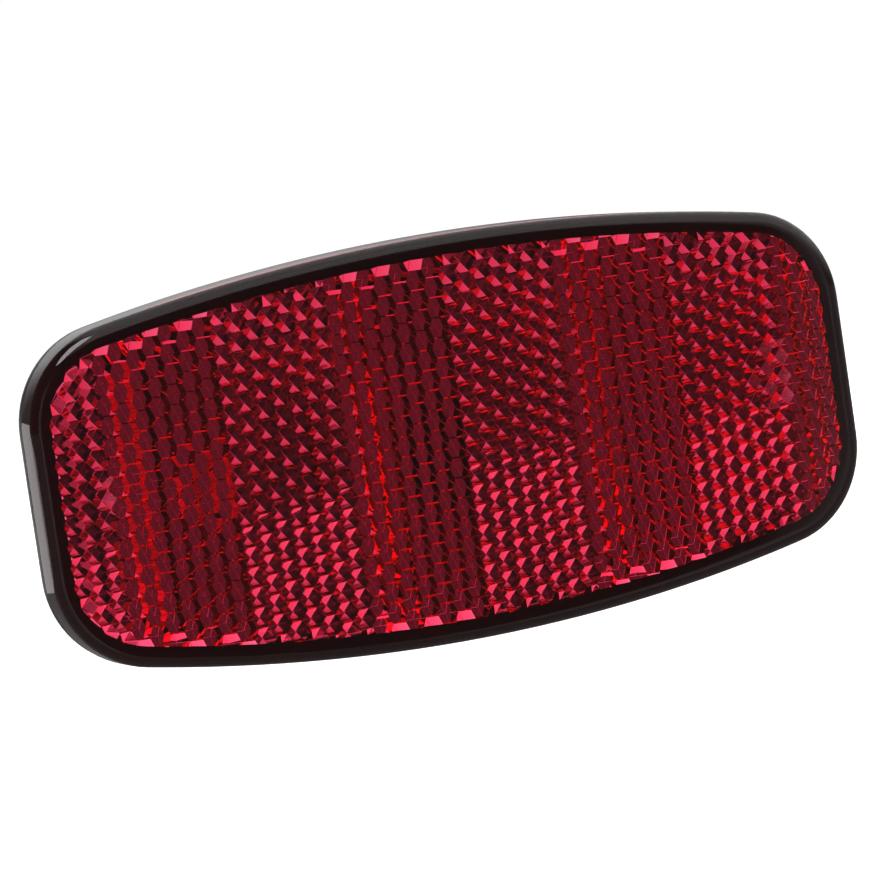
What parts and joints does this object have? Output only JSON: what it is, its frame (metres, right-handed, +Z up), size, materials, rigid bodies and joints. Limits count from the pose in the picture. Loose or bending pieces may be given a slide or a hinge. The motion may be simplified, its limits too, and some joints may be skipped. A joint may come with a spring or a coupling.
{
  "type": "bicycle rear reflector",
  "caption": "Wide red prism reflector with a thick dark rim and bowed long sides, on a black housing with M5 studs for a luggage carrier.",
  "frame": {"origin": "centre of the raised pad on the back, in the plane that meets the carrier", "axes": "+X to the right seen from the front along the long side, +Y out of the back towards the carrier, +Z up"},
  "size_m": [0.1, 0.0267, 0.0462],
  "materials": {
    "lens": "moulded clear red, polished face, prisms on the back",
    "housing": "moulded black, fine texture",
    "fasteners": "zinc plated"
  },
  "bodies": {
    "root": {"lens": "lens", "rear_housing": "housing", "bolt_left": "fasteners", "bolt_right": "fasteners", "flat_washer_left": "fasteners", "flat_washer_right": "fasteners", "spring_washer_left": "fasteners", "spring_washer_right": "fasteners", "nut_left": "fasteners", "nut_right": "fasteners"}
  },
  "joints": []
}
